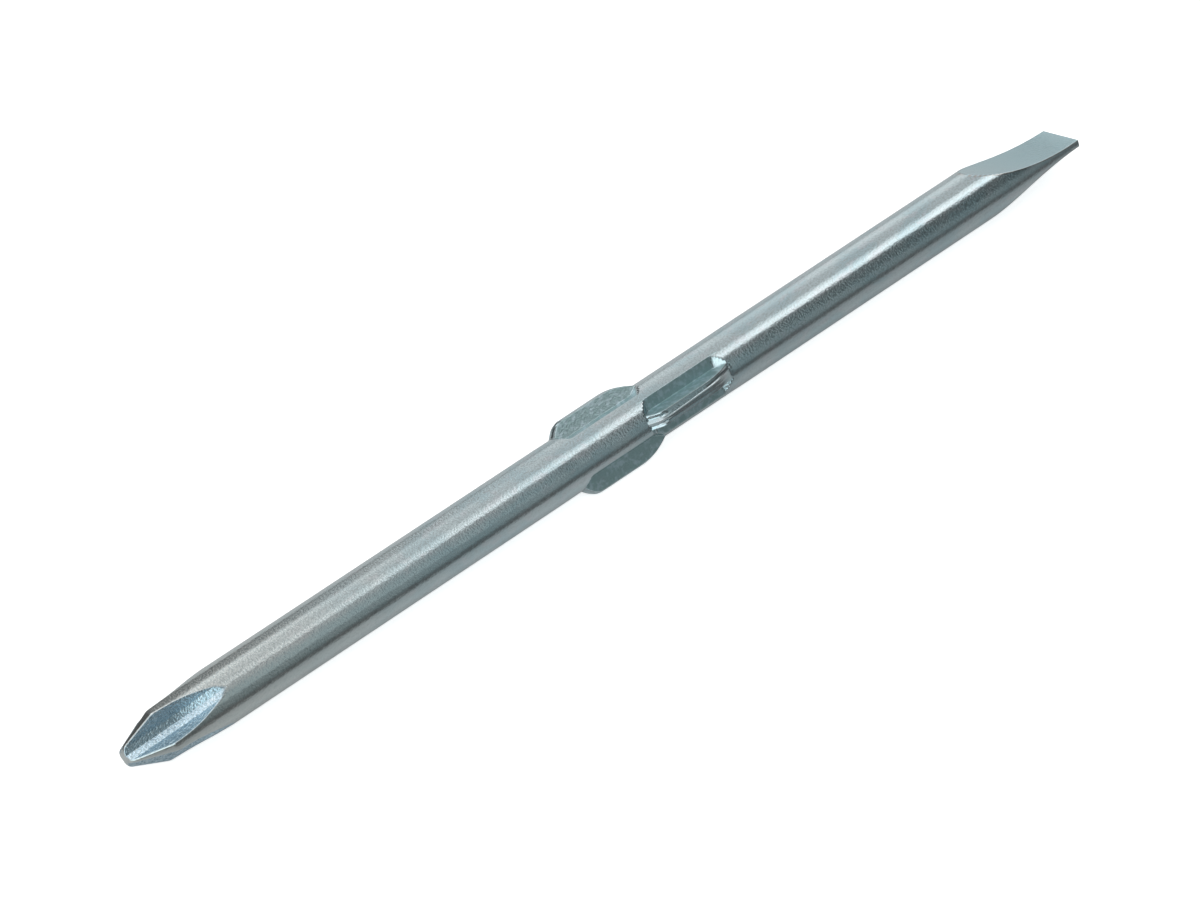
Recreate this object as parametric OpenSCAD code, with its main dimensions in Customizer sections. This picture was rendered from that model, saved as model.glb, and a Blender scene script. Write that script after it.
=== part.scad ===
// Double-ended screwdriver blade, made of one length of round steel bar.
//
// One end is a cross point with four flutes, the other is a hollow-ground slotted point.
// Between them two pairs of drive wings are pressed out of the bar, each pair turned about
// the bar from the other. A wing is what is left between two pockets pressed in from
// opposite sides: the steel that leaves the pockets stands out past the round as a fin. The
// dies that press the wings grip the bar between them, and leave it a hair under size there.
//
// X runs along the bar, from the cross point to the slotted point, Z is straight up as the
// blade lies on its round bar, and the origin is on the bar's axis, half way along.
// A turn about the bar is counted from straight up, toward -Y.

/* [Bar] */
// Length over both points
blade_length = 122.3; // [90:0.1:200]
// Diameter of the round bar
bar_diameter = 6; // [5:0.25:8]

/* [Cross point] */
// Diameter of the blunt nose, before its rim is rounded
nose_diameter = 2.3; // [1.8:0.1:3.2]
// Rounding of the nose's rim
nose_rim_radius = 0.35; // [0.1:0.05:0.6]
// Full angle of the nose cone
nose_angle = 51; // [44:1:60]
// Steel left at the nose between the bottoms of opposite flutes
flute_web = 1.2; // [1:0.1:1.8]
// Full angle between a flute's two walls
flute_angle = 92; // [86:1:98]
// Full angle between the two flats in the bottom of a flute
flute_bottom_angle = 138; // [130:1:150]
// Width of those two flats together, across the flute
flute_bottom_width = 1.34; // [0.8:0.02:1.8]
// Slope of a flute's bottom, away from the axis
flute_slope = 4.5; // [1:0.5:6]
// Length of a flute's straight stretch, from the nose
flute_straight_length = 5; // [4:0.5:9]
// Radius of the sweep that lifts a flute out to the bar's surface
flute_sweep_radius = 12.5; // [6:0.5:16]
// How much deeper that sweep cuts than the straight stretch, so that the two cross cleanly
flute_sweep_bite = 0.03; // [0.02:0.01:0.1]
// Turn of the flutes about the bar
flute_turn = 25; // [0:1:90]

/* [Slotted point] */
// Thickness of the tip
tip_thickness = 0.85; // [0.6:0.05:1.4]
// How far the tip's sides lie inside the bar's surface
tip_side_relief = 0.25; // [0:0.05:0.6]
// Length over which the sides draw in
side_taper_length = 9; // [4:1:16]
// Radius of the hollow ground into each face
hollow_radius = 33; // [22:1:60]
// Turn of the faces about the bar
slot_turn = -26.5; // [-90:0.5:90]

/* [Drive wings] */
// How far a wing stands out of the bar
wing_stand = 1.05; // [0.6:0.05:1.6]
// Length of a wing where it leaves the bar
wing_length = 10.5; // [8:0.5:16]
// Thickness of a wing at its crest
wing_crest_thickness = 1.36; // [0.8:0.02:1.8]
// Thickness of a wing at its root, on the pockets' inner walls
wing_root_thickness = 1.76; // [1:0.02:2.4]
// Width of the flat along the middle of a crest
wing_flat_width = 0.4; // [0.2:0.05:0.8]
// Slope of a crest down from that flat to the wing's sides
wing_crest_slope = 12; // [5:1:25]
// Slope of a wing's crest up from the bar, on the cross point's side
wing_rise_angle = 46; // [30:1:70]
// Rounding at the top of that slope
wing_rise_radius = 1.8; // [0.4:0.1:2.4]
// Slope of a wing's crest down to the bar, on the slotted point's side
wing_fall_angle = 30; // [20:1:45]
// Rounding at the top of that slope
wing_fall_radius = 7; // [1:0.5:9]
// Place of the middle of the first pair, from half way along
first_pair_place = -1.4; // [-12:0.1:2]
// Place of the middle of the second pair, from half way along
second_pair_place = 7.25; // [4:0.05:16]
// Turn of the first pair about the bar
first_pair_turn = 127; // [90:1:130]
// Turn of the second pair about the bar
second_pair_turn = 55.5; // [50:0.5:60]

/* [Pockets beside the wings] */
// Depth of a pocket's inner wall under the bar's surface, in the wing's middle plane
pocket_depth = 0.62; // [0.4:0.02:1]
// Slope of that wall, deeper away from the wing
pocket_wall_slope = 8; // [2:1:15]
// Length of that wall along the bar
pocket_wall_length = 8.8; // [6:0.1:14]
// Slope of a pocket's end walls
pocket_end_angle = 38; // [30:1:70]
// Rounding where an end wall meets the inner wall
pocket_corner_radius = 0.45; // [0.1:0.05:0.8]

/* [Grip of the dies at the wings] */
// How far the grip leaves the bar's surface under its full radius
grip_depth = 0.02; // [0.01:0.01:0.1]
// Length over which the grip comes in, before the first pair and after the second
grip_run = 3; // [1:0.5:5]

/* [Hidden] */
$fn = 96;

flute_count = 4;
wings_in_pair = 2;
faces_of_tip = 2;
// Chords in a rounded corner of an outline
arc_steps = 8;
// How far a cutter runs past what it cuts, and a wing's outline runs on under the bar's surface
overrun = 0.6;

bar_radius = bar_diameter / 2;
nose_radius = nose_diameter / 2;
cross_end = -blade_length / 2;
slotted_end = blade_length / 2;

// The nose cone reaches the bar's surface at the shoulder
nose_length = (bar_radius - nose_radius) / tan(nose_angle / 2);
shoulder = cross_end + nose_length;

// Where a flute's sweep starts, and what it turns about
sweep_start_along = flute_straight_length;
sweep_start_reach = flute_web / 2 + flute_straight_length * tan(flute_slope);
sweep_centre_along = sweep_start_along - flute_sweep_radius * sin(flute_slope);
sweep_centre_reach = sweep_start_reach + flute_sweep_radius * cos(flute_slope) - flute_sweep_bite;

// A wing's crest, the crest's edges, the pocket's inner wall and the level down to which a wing
// runs in the bar, all out from the axis
crest_reach = bar_radius + wing_stand;
crest_drop = (wing_crest_thickness - wing_flat_width) / 2 * tan(wing_crest_slope);
edge_reach = crest_reach - crest_drop;
wall_reach = bar_radius - pocket_depth;
buried_reach = wall_reach - overrun;
// Thinning of a wing's half thickness for each unit that it stands out
wing_taper = (wing_root_thickness - wing_crest_thickness) / 2 / (edge_reach - wall_reach);

// Ends of the gripped stretch, which is at its full depth from the first pair to the second
grip_start = first_pair_place - wing_length / 2 - grip_run;
grip_end = second_pair_place + wing_length / 2 + grip_run;
grip_radius = bar_radius - grip_depth;

// Unit vector from one point toward another
function toward(from, to) = (to - from) / norm(to - from);

// Points of the arc that rounds a corner, from the side of the point before it
// to the side of the point after it
function rounded_corner(before, corner, after, radius) =
    let (
        back = toward(corner, before),
        ahead = toward(corner, after),
        half_angle = acos(back * ahead) / 2,
        middle = (back + ahead) / norm(back + ahead),
        centre = corner + middle * radius / sin(half_angle),
        first = corner + back * radius / tan(half_angle) - centre,
        last = corner + ahead * radius / tan(half_angle) - centre,
        sweep = 180 - 2 * half_angle
    )
    [
        for (step = [0:arc_steps])
            let (along = sweep * step / arc_steps)
            centre + (first * sin(sweep - along) + last * sin(along)) / sin(sweep)
    ];

// The round bar, with its nose cone, the gripped stretch at the wings, and its sides drawn in
// at the slotted end
module round_bar() {
    nose_rim = [nose_radius, cross_end];
    shoulder_edge = [bar_radius, shoulder];
    outline = concat(
        [[0, cross_end]],
        rounded_corner([0, cross_end], nose_rim, shoulder_edge, nose_rim_radius),
        [
            shoulder_edge,
            [bar_radius, grip_start],
            [grip_radius, grip_start + grip_run],
            [grip_radius, grip_end - grip_run],
            [bar_radius, grip_end],
            [bar_radius, slotted_end - side_taper_length],
            [bar_radius - tip_side_relief, slotted_end],
            [0, slotted_end]
        ]
    );
    rotate([0, 90, 0]) rotate_extrude() polygon(outline);
}

// Section of a flute, with its bottom on the origin: two flats that meet at an obtuse angle,
// then a straight wall on each side
module flute_section() {
    depth = bar_radius + overrun;
    flat_side = flute_bottom_width / 2;
    flat_height = flat_side / tan(flute_bottom_angle / 2);
    top_side = flat_side + (depth - flat_height) * tan(flute_angle / 2);
    polygon([
        [0, 0],
        [flat_side, flat_height],
        [top_side, depth],
        [-top_side, depth],
        [-flat_side, flat_height]
    ]);
}

// One flute, above the axis: a straight groove from before the nose, then a round sweep
// that carries the same section out through the bar's surface
module flute() {
    translate([cross_end + sweep_start_along, 0, sweep_start_reach])
        rotate([0, -flute_slope, 0])
        rotate([90, 0, -90])
        linear_extrude(height = flute_straight_length + bar_diameter)
        flute_section();
    translate([cross_end + sweep_centre_along, 0, sweep_centre_reach])
        rotate([90, 0, 0])
        rotate_extrude()
        translate([flute_sweep_radius, 0])
        rotate(90)
        flute_section();
}

// The flutes of the cross point
module cross_flutes() {
    for (index = [0:flute_count - 1])
        rotate([flute_turn + 360 * index / flute_count, 0, 0])
        flute();
}

// The hollow faces of the slotted point, each ground by a round that just levels out at the tip
module hollow_faces() {
    for (index = [0:faces_of_tip - 1])
        rotate([slot_turn + 360 * index / faces_of_tip, 0, 0])
        translate([slotted_end, 0, tip_thickness / 2 + hollow_radius])
        rotate([90, 0, 0])
        cylinder(h = bar_diameter + 2 * overrun, r = hollow_radius, center = true, $fn = 360);
}

// Outline of a wing, along the bar and out from its axis: the crest rises steeply on the
// cross point's side and falls away gently on the slotted point's side
module wing_outline() {
    buried = bar_radius - buried_reach;
    rise_foot = [-wing_length / 2 - buried / tan(wing_rise_angle), buried_reach];
    rise_top = [-wing_length / 2 + wing_stand / tan(wing_rise_angle), crest_reach];
    fall_top = [wing_length / 2 - wing_stand / tan(wing_fall_angle), crest_reach];
    fall_foot = [wing_length / 2 + buried / tan(wing_fall_angle), buried_reach];
    polygon(concat(
        [rise_foot],
        rounded_corner(rise_foot, rise_top, fall_top, wing_rise_radius),
        rounded_corner(rise_top, fall_top, fall_foot, wing_fall_radius),
        [fall_foot]
    ));
}

// Section of a wing across the bar, thinning from its root to its crest, which slopes down to
// both sides: the wing's outline cuts the top of the slopes off to the flat in the middle
module wing_section() {
    foot = wing_root_thickness / 2 + wing_taper * (wall_reach - buried_reach);
    edge = wing_crest_thickness / 2;
    peak_reach = edge_reach + edge * tan(wing_crest_slope);
    polygon([
        [-foot, buried_reach],
        [foot, buried_reach],
        [edge, edge_reach],
        [0, peak_reach],
        [-edge, edge_reach]
    ]);
}

// One wing, standing up from the bar: its outline and its section together
module wing() {
    span = wing_length + 2 * bar_diameter / tan(wing_fall_angle);
    intersection() {
        rotate([90, 0, 0])
            linear_extrude(height = bar_diameter, center = true)
            wing_outline();
        rotate([90, 0, 90])
            linear_extrude(height = span, center = true)
            wing_section();
    }
}

// Side view of a pocket, with its inner wall on the axis and its ends sloping out
module pocket_outline() {
    depth = pocket_depth + wing_stand + overrun;
    run_out = depth / tan(pocket_end_angle);
    cross_side_corner = [-pocket_wall_length / 2, 0];
    slotted_side_corner = [pocket_wall_length / 2, 0];
    cross_side_top = [-pocket_wall_length / 2 - run_out, depth];
    slotted_side_top = [pocket_wall_length / 2 + run_out, depth];
    polygon(concat(
        [cross_side_top],
        rounded_corner(cross_side_top, cross_side_corner, slotted_side_corner, pocket_corner_radius),
        rounded_corner(cross_side_corner, slotted_side_corner, slotted_side_top, pocket_corner_radius),
        [slotted_side_top]
    ));
}

// The two pockets beside a wing, each from the wing's middle plane outward
module pockets() {
    for (side = [0, 180])
        rotate([0, 0, side])
        translate([0, 0, wall_reach])
        rotate([90 + pocket_wall_slope, 0, 0])
        linear_extrude(height = bar_radius + 2 * overrun)
        pocket_outline();
}

// Places its children once for each wing of a pair
module each_wing(place, turn) {
    for (index = [0:wings_in_pair - 1])
        rotate([turn + 360 * index / wings_in_pair, 0, 0])
        translate([place, 0, 0])
        children();
}

// The whole blade, one piece of steel
module blade() {
    color("lightsteelblue") {
        difference() {
            round_bar();
            cross_flutes();
            hollow_faces();
            each_wing(first_pair_place, first_pair_turn) pockets();
            each_wing(second_pair_place, second_pair_turn) pockets();
        }
        each_wing(first_pair_place, first_pair_turn) wing();
        each_wing(second_pair_place, second_pair_turn) wing();
    }
}

blade();
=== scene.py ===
"""Looks of a double-ended screwdriver blade: a cross point, two pairs of pressed drive wings
and a slotted point on one length of zinc-plated round bar.

The blade is one closed surface. For each station along the bar and each angle about it, the
surface lies where a ray from the axis leaves the steel, and the steel is the soft union and
difference of the bar, flutes, hollow faces, pockets and wings, so that every edge comes out
slightly rounded. Shapes are worked out in millimetres and made into meshes in metres.
A turn about the bar is counted in degrees from straight up, toward -Y.
"""

import logging
import math
from dataclasses import dataclass, field
from enum import Enum

import bpy
import numpy as np
from mathutils import Matrix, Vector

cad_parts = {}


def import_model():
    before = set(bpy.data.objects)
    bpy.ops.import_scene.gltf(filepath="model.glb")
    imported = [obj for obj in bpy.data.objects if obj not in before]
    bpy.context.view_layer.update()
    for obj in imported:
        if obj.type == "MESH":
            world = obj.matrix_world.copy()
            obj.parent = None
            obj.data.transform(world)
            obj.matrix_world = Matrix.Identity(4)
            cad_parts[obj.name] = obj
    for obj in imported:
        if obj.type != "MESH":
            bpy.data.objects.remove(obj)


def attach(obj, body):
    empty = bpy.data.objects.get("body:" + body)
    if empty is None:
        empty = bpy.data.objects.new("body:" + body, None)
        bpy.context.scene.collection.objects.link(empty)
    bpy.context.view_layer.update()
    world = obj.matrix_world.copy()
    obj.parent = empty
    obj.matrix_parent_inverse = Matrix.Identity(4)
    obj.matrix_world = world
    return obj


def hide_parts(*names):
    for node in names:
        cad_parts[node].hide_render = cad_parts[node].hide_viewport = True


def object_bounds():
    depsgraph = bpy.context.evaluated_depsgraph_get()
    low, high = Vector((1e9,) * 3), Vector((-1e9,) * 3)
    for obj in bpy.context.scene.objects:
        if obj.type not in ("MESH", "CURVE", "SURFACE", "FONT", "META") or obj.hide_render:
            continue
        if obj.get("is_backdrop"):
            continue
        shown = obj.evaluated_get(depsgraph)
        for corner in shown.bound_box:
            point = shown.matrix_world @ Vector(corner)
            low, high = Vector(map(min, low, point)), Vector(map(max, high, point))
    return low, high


log = logging.getLogger("blade")

Array = np.ndarray
Colour = tuple[float, float, float, float]
METRES = 0.001
WHITE: Colour = (1.0, 1.0, 1.0, 1.0)
BLACK: Colour = (0.0, 0.0, 0.0, 1.0)


def soft_max(a: Array, b: Array, width: float) -> Array:
    """The larger of two distances, rounded where they are closer than width.

    Formula: the larger one, plus a quarter of width times the square of one minus the
    difference over width.

    Args:
        a: First distance, in millimetres.
        b: Second distance.
        width: Difference at which the rounding starts.

    Returns:
        The rounded maximum.
    """
    near = np.clip(1 - np.abs(a - b) / width, 0, None)
    return np.maximum(a, b) + width * near**2 / 4


def soft_min(a: Array, b: Array, width: float) -> Array:
    """The smaller of two distances, rounded where they are closer than width."""
    return -soft_max(-a, -b, width)


def smooth_step(low: float, high: float, value: Array) -> Array:
    """Zero below low, one above high, and three t squared less two t cubed between them."""
    share = np.clip((value - low) / (high - low), 0, 1)
    return share * share * (3 - 2 * share)


@dataclass(frozen=True)
class Places:
    """Points about the bar: their place along it, distance from its axis, and turn."""

    along: Array
    reach: Array
    turn: Array

    @classmethod
    def of(cls, points: Array) -> "Places":
        """Points in space, counted about the bar."""
        reach = np.hypot(points[:, 1], points[:, 2])
        return cls(points[:, 0], reach, np.arctan2(-points[:, 1], points[:, 2]))

    def seen_from(self, turn: float) -> tuple[Array, Array]:
        """Turns the points into the frame of a feature.

        Formula: across is minus the reach times the sine of the turn between them, and out is
        the reach times its cosine.

        Args:
            turn: Turn of the feature, in degrees.

        Returns:
            How far the points lie across the feature's middle plane, and out along it.
        """
        angle = self.turn - math.radians(turn)
        return -self.reach * np.sin(angle), self.reach * np.cos(angle)


@dataclass(frozen=True)
class RoundBar:
    """The drawn round bar, with its nose cone and its sides drawn in at the slotted end."""

    length: float = 122.3
    radius: float = 3.0
    nose_radius: float = 1.15
    nose_half_angle: float = 25.5
    shoulder_rounding: float = 0.1
    nose_rounding: float = 0.6
    nose_crown: float = 0.17
    nose_tilt: float = 1.5
    nose_tilt_turn: float = -57.0
    grip: float = 0.02
    grip_from: float = -9.65
    grip_to: float = 15.5
    grip_run: float = 3.0
    side_relief: float = 0.27
    side_taper: float = 9.0
    side_power: float = 1.2

    def distance(self, at: Places) -> Array:
        """Distance outside the turned bar.

        Formula: the reach less the radius, which is a hair less where the wings' dies grip
        and draws in at the slotted end by a power of the way into its taper, or the distance
        to the nose's cone or to its crowned face where that is larger. The cone leans by the
        tangent of its tilt.

        Args:
            at: The points.

        Returns:
            The distance, negative inside the bar.
        """
        half = self.length / 2
        gripped = self.grip * (
            smooth_step(self.grip_from, self.grip_from + self.grip_run, at.along)
            - smooth_step(self.grip_to - self.grip_run, self.grip_to, at.along)
        )
        drawn_in = np.clip((at.along - half + self.side_taper) / self.side_taper, 0, None)
        barrel = at.reach - self.radius + gripped + self.side_relief * drawn_in**self.side_power
        slope = math.radians(self.nose_half_angle)
        drift = math.tan(math.radians(self.nose_tilt)) * (at.along + half)
        off = drift * np.cos(at.turn - math.radians(self.nose_tilt_turn))
        cone = (at.reach - off - self.nose_radius) * math.cos(slope)
        cone = cone - (at.along + half) * math.sin(slope)
        nose = soft_max(cone, -half - self.nose_crown - at.along, self.nose_rounding)
        return soft_max(barrel, nose, self.shoulder_rounding)


@dataclass(frozen=True)
class CrossPoint:
    """Four flutes about the nose, each with two straight walls and two flats in its bottom."""

    nose: float = -61.15
    turn: float = 26.5
    web_half: float = 0.62
    bottom_slope: float = 5.8
    runout_slope: float = 22.6
    runout_from: float = 8.05
    runout_reach: float = 1.79
    bend: float = 0.5
    wall_half_angle: float = 44.0
    flat_half_angle: float = 69.0
    flat_half_width: float = 0.65
    inside_rounding: float = 0.03
    edge_rounding: float = 0.1
    nose_edge_rounding: float = 0.12
    nose_edge_to: float = 3.0
    edge_from: float = 6.0

    def bottom(self, along: Array) -> Array:
        """How far a flute's bottom lies from the axis.

        Formula: a straight rise from the nose, then a steeper straight run out to the bar's
        surface, with a soft bend between them.

        Args:
            along: Places along the bar.

        Returns:
            The bottom's reach at each place.
        """
        from_nose = along - self.nose
        groove = self.web_half + from_nose * math.tan(math.radians(self.bottom_slope))
        past_bend = from_nose - self.runout_from
        runout = self.runout_reach + past_bend * math.tan(math.radians(self.runout_slope))
        return soft_max(groove, runout, self.bend)

    def cut(self, at: Places) -> Array:
        """Distance inside the nearest flute, positive where the steel is cut away.

        Formula: the smaller of the distances to a flat and to a wall, in the flute's section.

        Args:
            at: The points.

        Returns:
            The distance, which is zero on the flute's surface.
        """
        quarter = math.pi / 2
        start = math.radians(self.turn)
        folded = np.mod(at.turn - start + quarter / 2, quarter) - quarter / 2
        across = np.abs(at.reach * np.sin(folded))
        out = at.reach * np.cos(folded) - self.bottom(at.along)
        flat, wall = math.radians(self.flat_half_angle), math.radians(self.wall_half_angle)
        over_corner = out - self.flat_half_width / math.tan(flat)
        past_corner = across - self.flat_half_width
        to_flat = out * math.sin(flat) - across * math.cos(flat)
        to_wall = over_corner * math.sin(wall) - past_corner * math.cos(wall)
        return soft_min(to_flat, to_wall, self.inside_rounding)

    def carve(self, steel: Array, at: Places) -> Array:
        """The steel with the flutes cut out of it, their edges rounder on the nose.

        Args:
            steel: Distance outside the steel before.
            at: The points.

        Returns:
            Distance outside the steel after.
        """
        worn = 1 - smooth_step(self.nose_edge_to, self.edge_from, at.along - self.nose)
        width = self.edge_rounding + (self.nose_edge_rounding - self.edge_rounding) * worn
        return soft_max(steel, self.cut(at), width)


@dataclass(frozen=True)
class HollowFace:
    """One face of the slotted point, ground hollow by a large round."""

    turn: float
    lowest_at: float
    lowest: float
    radius: float
    round_share: float = 0.9
    edge_rounding: float = 0.04

    def height(self, along: Array) -> Array:
        """The face's height over the axis.

        Formula: the lowest height, plus the grinding radius less the root of its square less
        the square of the distance from the lowest place.

        Args:
            along: Places along the bar.

        Returns:
            The height at each place.
        """
        run = np.clip(np.abs(along - self.lowest_at), 0, self.radius * self.round_share)
        return self.lowest + self.radius - np.sqrt(self.radius**2 - run**2)

    def over(self, at: Places) -> Array:
        """Distance over this face, which is the height out from it."""
        _, out = at.seen_from(self.turn)
        return out - self.height(at.along)

    def carve(self, steel: Array, at: Places) -> Array:
        """The steel with this face ground into it."""
        return soft_max(steel, self.over(at), self.edge_rounding)


@dataclass(frozen=True)
class WingPair:
    """Two opposite wings, each what is left between two pressed pockets."""

    place: float
    turn: float
    bar_radius: float = 3.0
    stand: float = 1.05
    length: float = 10.5
    crest_half: float = 0.68
    crest_half_under: float = 0.1
    crest_flat_half: float = 0.2
    crest_fall: float = 9.0
    side_slope: float = 7.3
    rise_angle: float = 46.0
    rise_rounding: float = 0.55
    fall_angle: float = 30.0
    fall_rounding: float = 0.94
    ridge_start: float = -0.05
    ridge_slope: float = 0.032
    ridge_height: float = 0.045
    ridge_width: float = 0.055
    groove_depth: float = 0.035
    groove_at_rise: float = 0.05
    groove_deep_to: float = 0.6
    groove_even_from: float = 2.2
    hollow_depth: float = 0.1
    hollow_from_end: float = 1.35
    hollow_long: float = 0.42
    hollow_wide: float = 0.12
    hollow_across: float = 0.36
    wall_reach: float = 2.38
    wall_slope: float = 8.0
    wall_length: float = 8.8
    end_angle: float = 38.0
    far_end_angle: float = 28.0
    far_end_slant: float = 0.19
    mouth_across: float = 2.15
    end_rounding: float = 0.14
    mouth_rounding: float = 0.025
    lip_rounding: float = 0.07
    root_rounding: float = 0.05
    # Whether the long walls take the pressed share: rougher, with die marks and painted pocket
    # shade.
    wall_marked: float = 1.0

    def crest(self, along: Array, across: Array) -> Array:
        """How much lower than its highest level the wing's crest lies.

        Formula: a fall to both sides of the middle, plus two shallow grooves between the
        ridge and the lips, each half a wave of one minus the cosine, deeper on the rising
        end, plus a small oval hollow on each side of the ridge near that end, less a bell on
        the ridge itself.

        Args:
            along: Places along the bar from the pair's middle.
            across: Distances across the wing's middle plane.

        Returns:
            The relief, in millimetres.
        """
        from_end = along + self.length / 2
        ridge = self.ridge_start + self.ridge_slope * from_end
        beside = across - ridge
        room = np.where(beside > 0, self.crest_half - ridge, self.crest_half + ridge)
        share = np.clip(np.abs(beside) / room, 0, 1)
        rising = 1 - smooth_step(self.groove_deep_to, self.groove_even_from, from_end)
        depth = self.groove_depth + self.groove_at_rise * rising
        grooves = depth * (1 - np.cos(2 * math.pi * share)) / 2
        past_flat = np.clip(np.abs(across) - self.crest_flat_half, 0, None)
        fall = past_flat * math.tan(math.radians(self.crest_fall))
        bell = self.ridge_height * np.exp(-((beside / self.ridge_width) ** 2))
        lengthwise = (from_end - self.hollow_from_end) / self.hollow_long
        sideways = (np.abs(beside) - self.hollow_across) / self.hollow_wide
        hollow = self.hollow_depth * np.exp(-(lengthwise**2) - sideways**2)
        return grooves + fall + hollow - bell

    def wing(self, along: Array, across: Array, out: Array) -> Array:
        """Distance outside a wing.

        Formula: the largest of the distances to its crest, its rising and falling ends and
        its tapering sides, with roundings between them.

        Args:
            along: Places along the bar from the pair's middle.
            across: Distances across the wing's middle plane.
            out: Distances out along it.

        Returns:
            The distance, negative inside the wing.
        """
        rise, fall = math.radians(self.rise_angle), math.radians(self.fall_angle)
        half = self.length / 2
        low = out - self.bar_radius
        top = low - self.stand
        rising = low * math.cos(rise) - (along + half) * math.sin(rise)
        falling = low * math.cos(fall) + (along - half) * math.sin(fall)
        outline = soft_max(soft_max(top, rising, self.rise_rounding), falling, self.fall_rounding)
        outline = outline + self.crest(along, across)
        return soft_max(outline, self.side(across, out), self.lip_rounding)

    def side(self, across: Array, out: Array) -> Array:
        """Distance outside a wing's two sides, which taper toward its crest.

        Args:
            across: Distances across the wing's middle plane.
            out: Distances out along it.

        Returns:
            The distance, negative between the sides.
        """
        slope = math.radians(self.side_slope)
        over = out - (self.bar_radius + self.stand - self.crest_half_under)
        return (np.abs(across) - self.crest_half) * math.cos(slope) + over * math.sin(slope)

    def long_wall(self, across: Array, out: Array) -> Array:
        """Distance over the pockets' long walls, which deepen away from the wing."""
        slope = math.radians(self.wall_slope)
        return (out - self.wall_reach + np.abs(across) * math.tan(slope)) * math.cos(slope)

    def pocket(self, along: Array, across: Array, out: Array) -> Array:
        """Distance inside the pockets beside a wing, positive where the steel is pressed away.

        Formula: the smallest of the distances to the long wall, which deepens away from the
        wing, and to the two sloping end walls, of which the far one also lies aslant.

        Args:
            along: Places along the bar from the pair's middle.
            across: Distances across the wing's middle plane.
            out: Distances out along it.

        Returns:
            The distance, which is zero on the pockets' walls.
        """
        wall = self.long_wall(across, out)
        over = wall / math.cos(math.radians(self.wall_slope))
        far = along > 0
        slope = np.radians(np.where(far, self.far_end_angle, self.end_angle))
        slant = np.where(far, self.far_end_slant, 0) * (np.abs(across) - self.mouth_across)
        half = self.wall_length / 2 + slant
        ends = (half - np.abs(along)) * np.sin(slope) + over * np.cos(slope)
        return soft_min(wall, ends, self.end_rounding)

    def struck(self, along: Array, across: Array, out: Array) -> Array:
        """Distance off what the dies struck flat: the pockets' long walls and the wings' sides.

        Args:
            along: Places along the bar from the pair's middle.
            across: Distances across the wing's middle plane.
            out: Distances out along it.

        Returns:
            The distance, below zero off the struck surfaces and zero on them.
        """
        inside = np.where(np.abs(along) < self.length / 2, 0.0, -self.bar_radius)
        wall = np.abs(self.long_wall(across, out)) + (1 - self.wall_marked) * self.bar_radius
        off = np.minimum(wall, np.abs(self.side(across, out)))
        return np.where(out > 0, inside - off, -self.bar_radius)

    def press(self, steel: Array, at: Places) -> Array:
        """The steel with this pair's pockets pressed in and its wings standing out.

        Args:
            steel: Distance outside the steel before.
            at: The points.

        Returns:
            Distance outside the steel after.
        """
        along = at.along - self.place
        turns = (self.turn, self.turn + 180)
        for turn in turns:
            across, out = at.seen_from(turn)
            above = np.where(out > 0, self.pocket(along, across, out), -self.bar_radius)
            steel = soft_max(steel, above, self.mouth_rounding)
        for turn in turns:
            across, out = at.seen_from(turn)
            fin = np.where(out > 0, self.wing(along, across, out), self.bar_radius)
            steel = soft_min(steel, fin, self.root_rounding)
        return steel


@dataclass(frozen=True)
class Spacing:
    """How the points of the blade's surface are spread over it.

    Each entry of closeness is a place along the bar and how close the rings stand there. Each
    entry of blending is a place and the length over which rings share their spread of points.
    """

    around: int = 400
    stations: int = 222
    fine: int = 1440
    samples: int = 4001
    closeness: tuple[tuple[float, float], ...] = (
        (-61.15, 16.0), (-60.8, 16.0), (-60.4, 5.4), (-50.2, 5.4), (-49.4, 0.4), (-9.0, 0.4),
        (-7.6, 5.4), (13.6, 5.4), (15.6, 0.4), (45.5, 0.4), (47.5, 3.0), (61.15, 3.0),
    )
    nose_run: float = 0.4
    nose_rings: int = 13
    nose_first: float = 0.05
    tip_rounding: float = 0.06
    tip_rings: int = 4
    corner_pull: float = 0.35
    smoothing: tuple[int, ...] = (1, 2, 4, 8)
    blending: tuple[tuple[float, float], ...] = (
        (-61.2, 0.5), (-52.0, 0.8), (-46.0, 6.0), (-12.0, 6.0), (-5.0, 5.0),
        (12.0, 5.0), (20.0, 6.0), (44.0, 6.0), (49.0, 0.8), (61.2, 0.3),
    )
    cap_shares: tuple[float, ...] = (0.15, 0.4, 0.7, 0.9)


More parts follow.
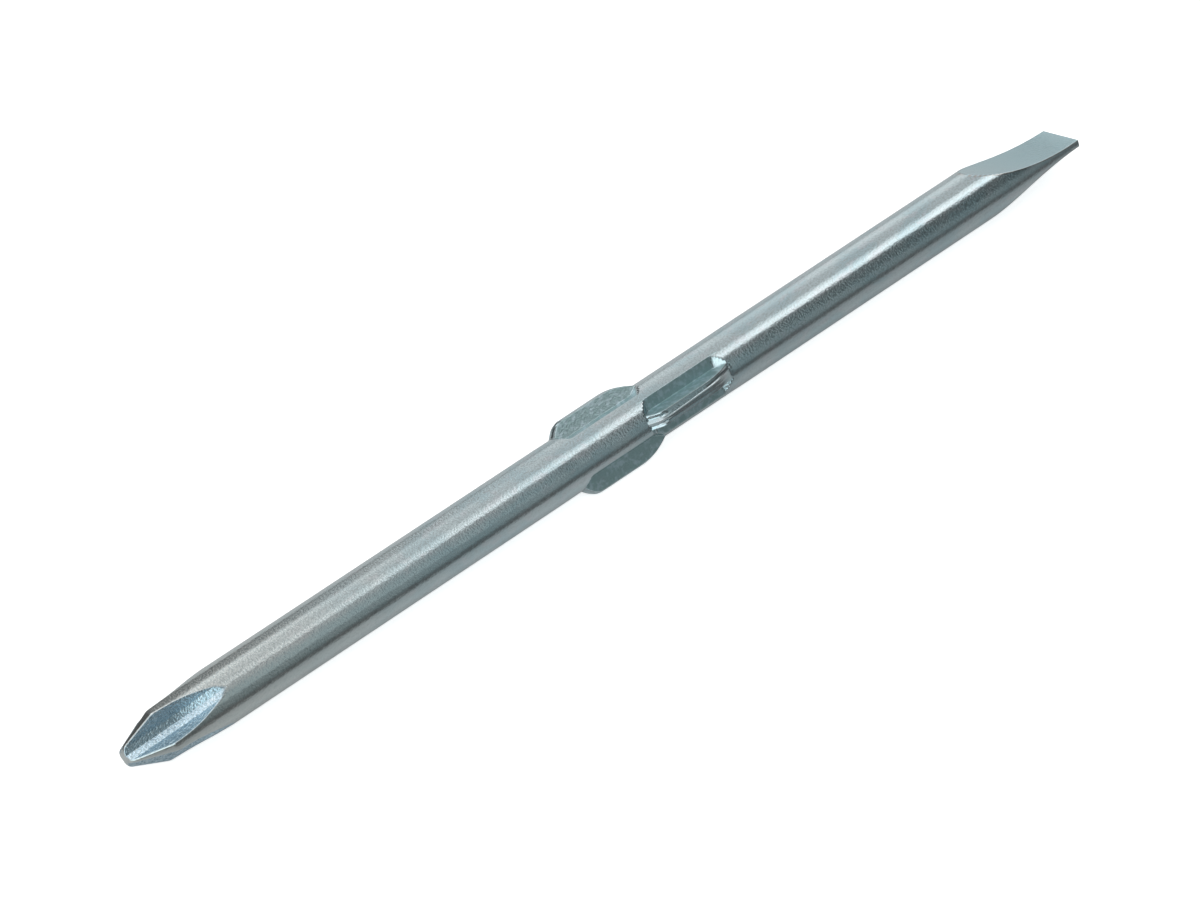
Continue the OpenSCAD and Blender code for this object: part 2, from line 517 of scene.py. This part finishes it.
@dataclass
class Blade:
    """The whole blade: its steel, the points of its surface, and how each was worked."""

    name: str = "steel_blade"
    bar: RoundBar = field(default_factory=RoundBar)
    cross: CrossPoint = field(default_factory=CrossPoint)
    faces: tuple[HollowFace, ...] = (
        HollowFace(turn=-26.5, lowest_at=60.65, lowest=0.27, radius=31.0),
        HollowFace(turn=153.5, lowest_at=60.85, lowest=0.51, radius=34.0),
    )
    pairs: tuple[WingPair, ...] = (
        WingPair(-1.4, 127.0, wall_slope=10.0, wall_reach=2.459, wall_marked=0.0),
        WingPair(7.25, 55.0, crest_half=0.75, side_slope=3.5, wall_slope=1.8, wall_reach=2.145),
    )
    spacing: Spacing = field(default_factory=Spacing)
    reach_limit: float = 4.5
    halvings: int = 20
    probe: float = 0.1
    step: float = 0.01
    work_edge: float = 0.06
    line_under: float = 0.09
    line_half: float = 0.08

    def steel(self, at: Places) -> Array:
        """Distance outside the steel.

        Formula: the turned bar, with the flutes cut, the faces ground and the wings pressed
        in that order.

        Args:
            at: The points.

        Returns:
            The distance, negative inside the steel.
        """
        value = self.cross.carve(self.bar.distance(at), at)
        for face in self.faces:
            value = face.carve(value, at)
        for pair in self.pairs:
            value = pair.press(value, at)
        return value

    def skin(self, along: Array, turn: Array, inset: Array) -> Array:
        """Where rays from the axis leave the steel.

        Formula: the reach at which the distance equals minus the inset, found by halving the
        stretch that holds it.

        Args:
            along: Places along the bar.
            turn: Turns about the bar, in radians.
            inset: How far inside the surface to stop.

        Returns:
            The reach for each ray.
        """
        low = np.zeros_like(turn)
        high = np.full_like(turn, self.reach_limit)
        for _ in range(self.halvings):
            middle = (low + high) / 2
            inside = self.steel(Places(along, middle, turn)) < -inset
            low = np.where(inside, middle, low)
            high = np.where(inside, high, middle)
        return (low + high) / 2

    def rings(self) -> tuple[Array, Array]:
        """Places of the rings along the bar, and how far each one is inset at the ends.

        Formula: rings stand closer where the steel has more shape, by the running sum of
        their closeness. On the crown of the nose they go by the square of their number, and
        at the tip's end by a quarter round of insets.

        Returns:
            The places, and the insets.
        """
        spacing = self.spacing
        half = self.bar.length / 2
        first = -half - self.bar.nose_crown + spacing.nose_run
        last = half - spacing.tip_rounding
        line = np.linspace(first, last, spacing.samples)
        close = np.interp(line, *np.transpose(spacing.closeness))
        running = np.concatenate([[0], np.cumsum((close[1:] + close[:-1]) / 2)])
        body = np.interp(np.linspace(0, running[-1], spacing.stations), running, line)
        steps = np.linspace(spacing.nose_first, 1, spacing.nose_rings + 1)[:-1]
        nose = first - spacing.nose_run * (1 - steps**2)
        sweep = np.radians(np.linspace(0, 90, spacing.tip_rings + 1)[1:])
        tip = last + spacing.tip_rounding * np.sin(sweep)
        tip_inset = spacing.tip_rounding * (1 - np.cos(sweep))
        places = np.concatenate([nose, body, tip])
        insets = np.concatenate([np.zeros(len(nose) + len(body)), tip_inset])
        return places, insets

    def spread(self, places: Array, insets: Array) -> Array:
        """Turns of the surface points on each ring, closer together where the section bends.

        Formula: points stand at equal steps of a running sum of weights about the ring, the
        weight being the length of the outline and a share of how much it turns, smoothed
        about the ring and from ring to ring.

        Args:
            places: Places of the rings along the bar.
            insets: Insets of the rings.

        Returns:
            One row of turns for each ring, in radians.
        """
        spacing = self.spacing
        edge = np.linspace(0, 2 * math.pi, spacing.fine + 1)
        turn = np.broadcast_to(edge[:-1], (len(places), spacing.fine))
        along = np.broadcast_to(places[:, None], turn.shape)
        inset = np.broadcast_to(insets[:, None], turn.shape)
        reach = self.skin(along, turn, inset)
        spot = reach * np.exp(1j * turn)
        stride = np.roll(spot, -1, 1) - spot
        bend = np.abs(np.angle(stride * np.conj(np.roll(stride, 1, 1))))
        weight = np.abs(stride) / reach.mean(1, keepdims=True) * self.bar.radius
        weight = weight + spacing.corner_pull * bend
        for shift in spacing.smoothing:
            weight = (np.roll(weight, shift, 1) + 2 * weight + np.roll(weight, -shift, 1)) / 4
        width = np.interp(places, *np.transpose(spacing.blending))[:, None]
        blend = np.exp(-(((places[:, None] - places[None, :]) / width) ** 2))
        blend = blend * np.gradient(places)[None, :]
        weight = (blend / blend.sum(1, keepdims=True)) @ weight
        running = np.concatenate([np.zeros((len(places), 1)), np.cumsum(weight, 1)], 1)
        share = np.linspace(0, 1, spacing.around + 1)[:-1]
        return np.stack([np.interp(share * row[-1], row, edge) for row in running])

    def surface(self) -> tuple[Array, Array]:
        """The points of the closed surface.

        Formula: each point is the place along the bar, then minus the reach times the sine of
        the turn, then the reach times its cosine. The ends are the last rings shrunk to the
        axis.

        Returns:
            The points ring by ring, and the two poles.
        """
        places, insets = self.rings()
        turn = self.spread(places, insets)
        along = np.broadcast_to(places[:, None], turn.shape)
        reach = self.skin(along, turn, np.broadcast_to(insets[:, None], turn.shape))
        shrink = np.array(self.spacing.cap_shares)[:, None]
        rows = len(shrink)
        turn = np.concatenate([np.repeat(turn[:1], rows, 0), turn, np.repeat(turn[-1:], rows, 0)])
        reach = np.concatenate([reach[:1] * shrink, reach, reach[-1:] * shrink[::-1]])
        along = np.concatenate([np.repeat(places[:1], rows), places, np.repeat(places[-1:], rows)])
        along = np.broadcast_to(along[:, None], turn.shape)
        points = np.stack([along, -reach * np.sin(turn), reach * np.cos(turn)], -1)
        return points, np.array([[places[0], 0, 0], [places[-1], 0, 0]])

    def facing(self, points: Array) -> Array:
        """The way the surface faces.

        Formula: how fast the distance outside the steel grows along X, Y and Z, by
        differences across twice a small step, brought to length one.

        Args:
            points: Points on the surface.

        Returns:
            One normal for each point.
        """
        sides = [
            self.steel(Places.of(points + way)) - self.steel(Places.of(points - way))
            for way in np.eye(3) * self.step
        ]
        growth = np.stack(sides, -1)
        return growth / np.linalg.norm(growth, axis=1, keepdims=True)

    def bend(self, points: Array) -> Array:
        """How sharply the surface bends.

        Formula: the sum of the distances outside the steel a short way off in six directions,
        less six times the distance here, over that way.

        Args:
            points: Points on the surface.

        Returns:
            A value above zero on an edge and below zero in a corner, within one.
        """
        ways = [sign * way for way in np.eye(3) * self.probe for sign in (1, -1)]
        total = sum(self.steel(Places.of(points + way)) for way in ways)
        total = total - len(ways) * self.steel(Places.of(points))
        return np.clip(total / self.probe, -1, 1)

    def worked(self, points: Array) -> dict[str, Array]:
        """How each point of the surface was worked.

        Formula: one on the surface that a tool left, falling to zero a short way off it, by
        the distance to that tool's cut. The line lies on the bar a little below the edge of
        a hollow face.

        Args:
            points: Points on the surface.

        Returns:
            For each kind of work, its share at each point.
        """
        at = Places.of(points)
        milled = smooth_step(-self.work_edge, 0, self.cross.cut(at))
        ground, line, pressed = np.zeros((3, len(points)))
        for face in self.faces:
            over = face.over(at)
            ground = np.maximum(ground, smooth_step(-self.work_edge, 0, over))
            line = np.maximum(line, 1 - np.abs(over + self.line_under) / self.line_half)
        for pair in self.pairs:
            for turn in (pair.turn, pair.turn + 180):
                near = pair.struck(at.along - pair.place, *at.seen_from(turn))
                pressed = np.maximum(pressed, smooth_step(-self.work_edge, 0, near))
        return {"milled": milled, "ground": ground, "pressed": pressed, "line": line}

    def build(self) -> bpy.types.Object:
        """Makes the blade's mesh and rides it on the root body in place of the CAD node.

        Formula: four corners of each face are a point, its neighbour about the ring, and the
        same two on the next ring, and each pole has a fan of triangles.

        Returns:
            The blade's object.
        """
        points, poles = self.surface()
        rows, columns = points.shape[:2]
        index = np.arange(rows * columns).reshape(rows, columns)
        after = np.roll(index, -1, 1)
        quads = np.stack([index[:-1], after[:-1], after[1:], index[1:]], -1).reshape(-1, 4)
        pole = np.full(columns, rows * columns)
        start = np.stack([pole, after[0], index[0]], -1)
        end = np.stack([pole + 1, index[-1], after[-1]], -1)
        flat = np.concatenate([points.reshape(-1, 3), poles])
        mesh = bpy.data.meshes.new(self.name)
        faces = quads.tolist() + start.tolist() + end.tolist()
        mesh.from_pydata((flat * METRES).tolist(), [], faces)
        mesh.shade_smooth()
        mesh.normals_split_custom_set_from_vertices(self.facing(flat))
        for name, values in {"bend": self.bend(flat), **self.worked(flat)}.items():
            attribute = mesh.attributes.new(name, "FLOAT", "POINT")
            attribute.data.foreach_set("value", values.astype(np.float32))
        mesh.validate()
        piece = bpy.data.objects.new(self.name, mesh)
        bpy.context.scene.collection.objects.link(piece)
        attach(piece, "root")
        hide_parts("blade")
        return piece


class Wire:
    """A value in a shader, with the operators that expressions on it use."""

    def __init__(self, nodes: "NodeBoard", source: bpy.types.NodeSocket | float) -> None:
        """Wraps a socket, or a plain number."""
        self.nodes = nodes
        self.source = source

    def maths(self, operation: str, *others: "Wire | float") -> "Wire":
        """Adds a Math node.

        Args:
            operation: What the node does.
            others: The values that it works on after this one.

        Returns:
            The node's result.
        """
        values = dict(enumerate((self, *others)))
        node = self.nodes.add("ShaderNodeMath", {"operation": operation}, values)
        return self.nodes.wire(node)

    def __add__(self, other: "Wire | float") -> "Wire":
        """The sum."""
        return self.maths("ADD", other)

    __radd__ = __add__

    def __sub__(self, other: "Wire | float") -> "Wire":
        """The difference."""
        return self.maths("SUBTRACT", other)

    def __rsub__(self, other: float) -> "Wire":
        """The difference from a number."""
        return Wire(self.nodes, other).maths("SUBTRACT", self)

    def __mul__(self, other: "Wire | float") -> "Wire":
        """The product."""
        return self.maths("MULTIPLY", other)

    __rmul__ = __mul__

    def __neg__(self) -> "Wire":
        """The negative."""
        return self.maths("MULTIPLY", -1.0)

    def or_more(self, other: "Wire | float") -> "Wire":
        """The larger of two values."""
        return self.maths("MAXIMUM", other)

    def clipped(self) -> "Wire":
        """The value held between zero and one."""
        return self.maths("MINIMUM", 1.0).or_more(0.0)

    def ramp(self, low: float, high: float) -> "Wire":
        """Zero at low and one at high, with a smooth rise or fall between them.

        Args:
            low: The value at which the ramp is zero.
            high: The value at which it is one, below low for a fall.

        Returns:
            The ramp.
        """
        node = self.nodes.add(
            "ShaderNodeMapRange",
            {"interpolation_type": "SMOOTHSTEP"},
            {0: self, 1: min(low, high), 2: max(low, high), 3: 0.0, 4: 1.0},
        )
        rise = self.nodes.wire(node)
        return rise if low < high else 1.0 - rise

    def band(self, low: float, high: float, soft: float) -> "Wire":
        """One between low and high, falling to zero within soft on both sides."""
        return self.ramp(low - soft, low + soft) * self.ramp(high + soft, high - soft)


class NodeBoard:
    """A node tree that nodes are added to."""

    def __init__(self, tree: bpy.types.NodeTree) -> None:
        """Empties the tree."""
        self.tree = tree
        tree.nodes.clear()

    def add(
        self,
        kind: str,
        settings: dict[str, object] | None = None,
        inputs: dict[str | int, object] | None = None,
    ) -> bpy.types.Node:
        """Adds any node.

        Args:
            kind: The node's type.
            settings: Its settings, set before its sockets.
            inputs: Values or wires for its sockets, by their name or number.

        Returns:
            The node.
        """
        node = self.tree.nodes.new(kind)
        for name, value in (settings or {}).items():
            setattr(node, name, value)
        for name, value in (inputs or {}).items():
            source = value.source if isinstance(value, Wire) else value
            if isinstance(source, bpy.types.NodeSocket):
                self.tree.links.new(source, node.inputs[name])
            else:
                node.inputs[name].default_value = source
        return node

    def wire(self, node: bpy.types.Node, output: str | int = 0) -> Wire:
        """An output of a node, for use in expressions."""
        return Wire(self, node.outputs[output])

    def axes(self, place: Wire) -> list[Wire]:
        """The X, Y and Z parts of a place or a direction."""
        parts = self.add("ShaderNodeSeparateXYZ", {}, {0: place})
        return [self.wire(parts, axis) for axis in range(3)]

    def mix(self, share: Wire, first: Wire | Colour, second: Wire | Colour) -> Wire:
        """Mixes two colours, of which the second has the share."""
        node = self.add("ShaderNodeMix", {"data_type": "RGBA"}, {0: share, 6: first, 7: second})
        return self.wire(node, 2)

    def rays(self) -> tuple[Wire, Wire]:
        """Tells what looks at a surface or at the world.

        Returns:
            One for the camera, straight or through glass, and one for what metal shows.
        """
        path = self.add("ShaderNodeLightPath")
        seen = self.wire(path, "Is Camera Ray").or_more(self.wire(path, "Is Transmission Ray"))
        return seen, self.wire(path, "Is Glossy Ray")


class Run(Enum):
    """How far a pattern on the steel is stretched along the bar, as scales along X, Y and Z."""

    DRAWN = (0.12, 1.0, 1.0)
    FILM = (0.5, 1.0, 1.0)
    EVEN = (1.0, 1.0, 1.0)


@dataclass(frozen=True)
class Pattern:
    """A noise over the steel."""

    scale: float
    detail: float
    run: Run

    def on(self, board: NodeBoard, place: Wire) -> Wire:
        """Adds the pattern's nodes.

        Args:
            board: The node tree.
            place: Object coordinates.

        Returns:
            The pattern, from zero to one about a half.
        """
        stretched = board.wire(
            board.add("ShaderNodeMapping", {}, {"Vector": place, "Scale": self.run.value})
        )
        settings = {"Vector": stretched, "Scale": self.scale, "Detail": self.detail}
        return board.wire(board.add("ShaderNodeTexNoise", {}, settings))


@dataclass(frozen=True)
class Tone:
    """A colour that lies over the plate where something is so, with its greatest share.

    One that follows a pattern comes in between two values of the pattern.
    """

    colour: Colour
    share: float
    absent: float = 0.0
    full: float = 1.0

    def over(
        self, board: NodeBoard, under: Wire | Colour, where: Wire | float, pattern: Wire | None
    ) -> Wire:
        """Lays the tone over a colour.

        Args:
            board: The node tree.
            under: The colour so far.
            where: How much of the tone the place takes.
            pattern: The pattern it follows, if any.

        Returns:
            The colour with the tone on it.
        """
        amount = where * self.share
        if pattern is not None:
            amount = pattern.ramp(self.absent, self.full) * amount
        return board.mix(amount, under, self.colour)


@dataclass(frozen=True)
class PlatedSteel:
    """Bright zinc plate, passivated faintly blue, over smooth drawn steel."""

    name: str = "plated_steel"
    plate: Colour = (0.595, 0.69, 0.715, 1.0)
    cool: Tone = Tone((0.52, 0.65, 0.69, 1.0), 1.0, 0.42, 0.62)
    pink: Tone = Tone((0.645, 0.675, 0.71, 1.0), 0.5, 0.48, 0.34)
    straw: Tone = Tone((0.645, 0.675, 0.655, 1.0), 0.8, -0.015, -0.055)
    grain: Tone = Tone((0.47, 0.54, 0.55, 1.0), 0.55, 0.55, 0.35)
    milled_blue: Tone = Tone((0.50, 0.66, 0.76, 1.0), 0.85)
    ground_teal: Tone = Tone((0.47, 0.66, 0.71, 1.0), 0.85)
    # Darker teal on the struck surfaces: partly die marks, partly painted shade in the pressed
    # pockets and on the wings' sides.
    die_mark_and_pocket_shade: Tone = Tone((0.34, 0.50, 0.51, 1.0), 0.75)
    dented: Tone = Tone((0.62, 0.76, 0.82, 1.0), 0.7, 0.45, 0.66)
    pitted: Tone = Tone((0.26, 0.31, 0.33, 1.0), 0.4, 0.5, 0.32)
    glinting: Tone = Tone((0.88, 0.93, 0.94, 1.0), 0.45, 0.54, 0.68)
    # Lighter colour on convex edges: partly worn plate, partly a painted highlight along every
    # sharp edge.
    edge_wear_and_highlight: Tone = Tone((0.88, 0.93, 0.94, 1.0), 0.4, 0.25, 1.0)
    rust: Tone = Tone((0.50, 0.42, 0.38, 1.0), 0.9, 0.3, 0.6)
    film: Pattern = Pattern(420.0, 3.0, Run.FILM)
    blush: Pattern = Pattern(966.0, 2.0, Run.FILM)
    speckle: Pattern = Pattern(5000.0, 3.0, Run.EVEN)
    drawn: Pattern = Pattern(3800.0, 2.0, Run.DRAWN)
    dents: Pattern = Pattern(1750.0, 4.0, Run.EVEN)
    roughness: float = 0.165
    speckle_rough: float = 0.25
    film_rough: float = 0.08
    pressed_rough: float = 0.2
    ground_rough: float = -0.02
    speckle_height: float = 0.000013
    drawn_height: float = 0.000006
    milled_height: float = 5.0
    pressed_height: float = 2.5

    def material(self) -> bpy.types.Material:
        """Makes the material, which reads how the steel was worked from the mesh.

        Formula: the plate's colour takes one tone after another, the roughness is a sum of
        the patterns' and the tools' parts, and the height is that of two patterns, of which
        the speckle is higher where the steel was milled or pressed.

        Returns:
            The material.
        """
        material = bpy.data.materials.new(self.name)
        material.use_nodes = True
        board = NodeBoard(material.node_tree)
        place = board.wire(board.add("ShaderNodeTexCoord"), "Object")
        along, _, _ = board.axes(place)
        bend, milled, pressed, ground, line = (
            board.wire(board.add("ShaderNodeAttribute", {"attribute_name": name}), "Fac")
            for name in ("bend", "milled", "pressed", "ground", "line")
        )
        film, blush, speckle, drawn, dents = (
            pattern.on(board, place)
            for pattern in (self.film, self.blush, self.speckle, self.drawn, self.dents)
        )
        colour = self.plate
        for tone, where, pattern in (
            (self.cool, 1.0, film),
            (self.pink, 1.0, blush),
            (self.straw, 1.0, along),
            (self.grain, 1.0, speckle),
            (self.milled_blue, milled, None),
            (self.ground_teal, ground, None),
            # The pressed tone is die marks plus painted shade in the pockets.
            (self.die_mark_and_pocket_shade, pressed, None),
            (self.dented, pressed, dents),
            (self.pitted, milled, speckle),
            (self.glinting, milled, speckle),
            (self.edge_wear_and_highlight, 1.0 - pressed, bend),
            # Edges are painted lighter by how sharply they bend: wear plus a painted highlight.
            (self.rust, line, film),
        ):
            colour = tone.over(board, colour, where, pattern)
        rough = (speckle - 0.5) * self.speckle_rough + (film - 0.5) * self.film_rough
        rough = rough + pressed * self.pressed_rough + ground * self.ground_rough + self.roughness
        raised = milled * self.milled_height + pressed * self.pressed_height + 1.0
        height = speckle * self.speckle_height * raised + drawn * self.drawn_height
        bump = board.add(
            "ShaderNodeBump", {}, {"Height": height, "Strength": 1.0, "Distance": 1.0}
        )
        shader = board.add(
            "ShaderNodeBsdfPrincipled",
            {},
            {
                "Base Color": colour,
                "Metallic": 1.0,
                "Roughness": rough.clipped(),
                "Normal": board.wire(bump),
            },
        )
        board.add("ShaderNodeOutputMaterial", {}, {"Surface": board.wire(shader)})
        return material


@dataclass(frozen=True)
class Panel:
    """One lit panel of the surround, between two turns about the X axis.

    Its strength changes from the cross point's side to the slotted point's side, between
    two values of the direction's X part, and it begins at a third.
    """

    first: float
    last: float
    soft: float
    cross_side: float
    slotted_side: float
    change_from: float
    change_to: float
    begins: float = -2.0
    begin_soft: float = 0.04

    def level(self, x: Wire, turn: Wire) -> Wire:
        """How bright the panel is in each direction.

        Formula: one between its turns, times its strength at that X, times one past where
        it begins.

        Args:
            x: The direction's X part.
            turn: The direction's turn about the X axis, in degrees.

        Returns:
            The panel's level.
        """
        change = self.slotted_side - self.cross_side
        strength = x.ramp(self.change_from, self.change_to) * change + self.cross_side
        begun = x.ramp(self.begins - self.begin_soft, self.begins + self.begin_soft)
        return turn.band(self.first, self.last, self.soft) * strength * begun


@dataclass(frozen=True)
class EndPanel:
    """One lit panel beyond the cross point, which comes in between two values of X."""

    first: float
    last: float
    soft: float
    strength: float
    absent: float
    full: float

    def level(self, x: Wire, turn: Wire) -> Wire:
        """How bright the panel is in each direction: its strength between its turns and past X."""
        band = turn.band(self.first, self.last, self.soft)
        return x.ramp(self.absent, self.full) * band * self.strength


@dataclass(frozen=True)
class Patch:
    """A part of the floor that metal shows darker or lighter.

    It comes in between two places along Y, and where they are given, between two along X.
    """

    darkness: float
    along_y: tuple[float, float]
    along_x: tuple[float, float] | None = None

    def share(self, x: Wire, y: Wire) -> Wire:
        """How much a place on the floor lies in the patch."""
        inside = y.ramp(*self.along_y)
        return inside if self.along_x is None else inside * x.ramp(*self.along_x)


@dataclass(frozen=True)
class Studio:
    """A pale floor, a soft bright surround with a darker front, and the photograph's camera."""

    aim: tuple[float, float, float] = (-2.740, -0.470, -0.305)
    azimuth: float = 228.774
    elevation: float = 49.2117
    distance: float = 502.0
    lens: float = 153.48
    sensor: float = 36.0
    clip_start: float = 0.01
    clip_end: float = 10.0
    floor_half: float = 1.5
    floor_grey: Colour = (0.8, 0.8, 0.8, 1.0)
    floor_glow: float = 0.74
    floor_dark: float = 0.28
    front: Patch = Patch(0.53, (-0.01, -0.023), (-0.095, -0.075))
    tip_side: Patch = Patch(0.13, (0.002, -0.002), (-0.01, 0.02))
    far_nose: Patch = Patch(0.6, (0.008, 0.015), (-0.044, -0.054))
    behind: Patch = Patch(-0.24, (0.003, 0.008))
    under: tuple[float, float, float] = (-0.0065, 0.004, 0.002)
    under_glow: float = 0.16
    metal_glow: float = 0.02
    shade: float = 0.07
    white_in_metal: float = 0.03
    front_light: Colour = (0.85, 0.98, 1.0, 1.0)
    front_turns: tuple[float, float, float] = (35.0, 130.0, 15.0)
    slotted_half: tuple[float, float] = (-0.3, -0.1)
    tip_fade: tuple[float, float] = (0.88, 0.72)
    panels: tuple[Panel, ...] = (
        Panel(-88, -51, 10, 0.08, 0.86, 0.325, 0.46),
        Panel(-51, -9, 7, 0.58, 0.50, 0.36, 0.47),
        Panel(-43, -33, 4, 0.40, 0.0, 0.35, 0.39),
        Panel(-44, -10, 4, 1.0, 0.0, 0.24, 0.32),
        Panel(-9, 19, 3.5, 0.48, 1.15, 0.375, 0.465),
        Panel(2, 18, 4, 0.05, 0.38, 0.355, 0.385),
        Panel(21, 34, 4, 0.44, 0.02, 0.38, 0.475),
        Panel(23, 33, 4, 0.25, 0.0, 0.24, 0.32),
        Panel(34, 62, 5, 0.46, 0.0, 0.385, 0.475, 0.24),
        Panel(64, 96, 6, 0.08, 0.12, 0.36, 0.44, 0.1),
        Panel(58, 84, 6, 0.24, 0.0, 0.43, 0.475, 0.37),
    )
    end_panels: tuple[EndPanel, ...] = (
        EndPanel(-46, 45, 8, 0.95, -0.1, -0.3),
        EndPanel(45, 95, 6, 0.6, -0.3, -0.42),
        EndPanel(45, 95, 6, 0.9, 0.0, -0.3),
    )

    def camera(self) -> None:
        """Places the camera on the photograph's line of sight.

        Formula: back from the aim by the distance, along the azimuth raised by the
        elevation, with the picture's right level.
        """
        turn, rise = math.radians(self.azimuth), math.radians(self.elevation)
        flat = math.cos(rise)
        back = np.array([flat * math.cos(turn), flat * math.sin(turn), math.sin(rise)])
        right = np.array([-math.sin(turn), math.cos(turn), 0.0])
        matrix = np.eye(4)
        matrix[:3, :3] = np.stack([right, np.cross(back, right), back], -1)
        matrix[:3, 3] = (np.array(self.aim) + back * self.distance) * METRES
        data = bpy.data.cameras.new("camera")
        data.lens, data.sensor_width = self.lens, self.sensor
        data.clip_start, data.clip_end = self.clip_start, self.clip_end
        camera = bpy.data.objects.new("camera", data)
        camera.matrix_world = Matrix(matrix.tolist())
        bpy.context.scene.collection.objects.link(camera)
        bpy.context.scene.camera = camera

    def paint(self) -> bpy.types.Material:
        """Makes the floor's paint, which metal shows in patches.

        Formula: the darkness that metal shows is the floor's own plus each patch's share
        times its darkness, and the tip's side patch counts where the front one doesn't. The
        floor glows to the camera, and a little in metal, most of all close under the blade.

        Returns:
            The material.
        """
        material = bpy.data.materials.new("floor_paint")
        material.use_nodes = True
        board = NodeBoard(material.node_tree)
        x, y, _ = board.axes(board.wire(board.add("ShaderNodeTexCoord"), "Object"))
        seen, glossy = board.rays()
        front, tip_side = self.front.share(x, y), self.tip_side.share(x, y) * self.tip_side.darkness
        dark = front * self.front.darkness + tip_side * (1.0 - front) + self.floor_dark
        for patch in (self.far_nose, self.behind):
            dark = dark + patch.share(x, y) * patch.darkness
        colour = board.mix(glossy * dark.clipped(), self.floor_grey, BLACK)
        matt = board.add("ShaderNodeBsdfDiffuse", {}, {"Color": colour})
        glow = board.add("ShaderNodeEmission", {}, {"Strength": self.floor_glow})
        both = board.add("ShaderNodeAddShader", {}, {0: board.wire(matt), 1: board.wire(glow)})
        in_metal = y.band(*self.under) * self.under_glow + self.metal_glow
        shares = {0: seen.or_more(glossy * in_metal), 1: board.wire(matt), 2: board.wire(both)}
        mix = board.add("ShaderNodeMixShader", {}, shares)
        board.add("ShaderNodeOutputMaterial", {}, {"Surface": board.wire(mix)})
        return material

    def floor(self, level: float) -> bpy.types.Object:
        """Lays the floor.

        Args:
            level: Its height, in metres.

        Returns:
            The floor's object.
        """
        half = self.floor_half
        sheet = [(-half, -half), (half, -half), (half, half), (-half, half)]
        mesh = bpy.data.meshes.new("floor")
        mesh.from_pydata([(x, y, level) for x, y in sheet], [], [(0, 1, 2, 3)])
        mesh.materials.append(self.paint())
        floor = bpy.data.objects.new("floor", mesh)
        bpy.context.scene.collection.objects.link(floor)
        floor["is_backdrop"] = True
        return floor

    def surround(self) -> None:
        """Lights the object from all round: bright overhead and behind, darker in front.

        Formula: the sum of the panels' levels, which are bands of the turn about the X axis,
        and of the end panels', faded toward the slotted tip, plus an even shade. What the
        camera sees is white, and metal shows a share of that white.
        """
        world = bpy.data.worlds.new("surround")
        bpy.context.scene.world = world
        world.use_nodes = True
        board = NodeBoard(world.node_tree)
        x, y, z = board.axes(board.wire(board.add("ShaderNodeTexCoord"), "Generated"))
        turn = (-y).maths("ARCTAN2", z) * math.degrees(1.0)
        sides = sum(panel.level(x, turn) for panel in self.panels)
        ends = sum(panel.level(x, turn) for panel in self.end_panels)
        level = sides * x.ramp(*self.slotted_half) + ends
        level = level * x.ramp(*self.tip_fade) + self.shade
        seen, glossy = board.rays()
        seen = seen.or_more(glossy * self.white_in_metal)
        strength = level * (1.0 - seen) + seen
        front = turn.band(*self.front_turns) * (1.0 - seen)
        colour = board.mix(front, WHITE, self.front_light)
        light = board.add("ShaderNodeBackground", {}, {"Color": colour, "Strength": strength})
        board.add("ShaderNodeOutputWorld", {}, {"Surface": board.wire(light)})


def corners(box: tuple) -> list[list[float]]:
    """A box as plain lists of numbers."""
    return [[float(value) for value in corner] for corner in box]


def main() -> None:
    """Loads the frame, then makes the blade, its finish and the studio."""
    logging.basicConfig(level=logging.INFO, format="%(name)s: %(message)s")
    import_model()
    cad_box = corners(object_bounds())
    bpy.context.scene.view_settings.view_transform = "Standard"
    studio = Studio()
    studio.camera()
    blade = Blade().build()
    blade.data.materials.append(PlatedSteel().material())
    log.info("%s: %d faces, %s", blade.name, len(blade.data.polygons), blade.active_material.name)
    floor = studio.floor(cad_box[0][2])
    log.info("%s at %.2f mm", floor.name, cad_box[0][2] / METRES)
    studio.surround()


if __name__ == "__main__":
    main()
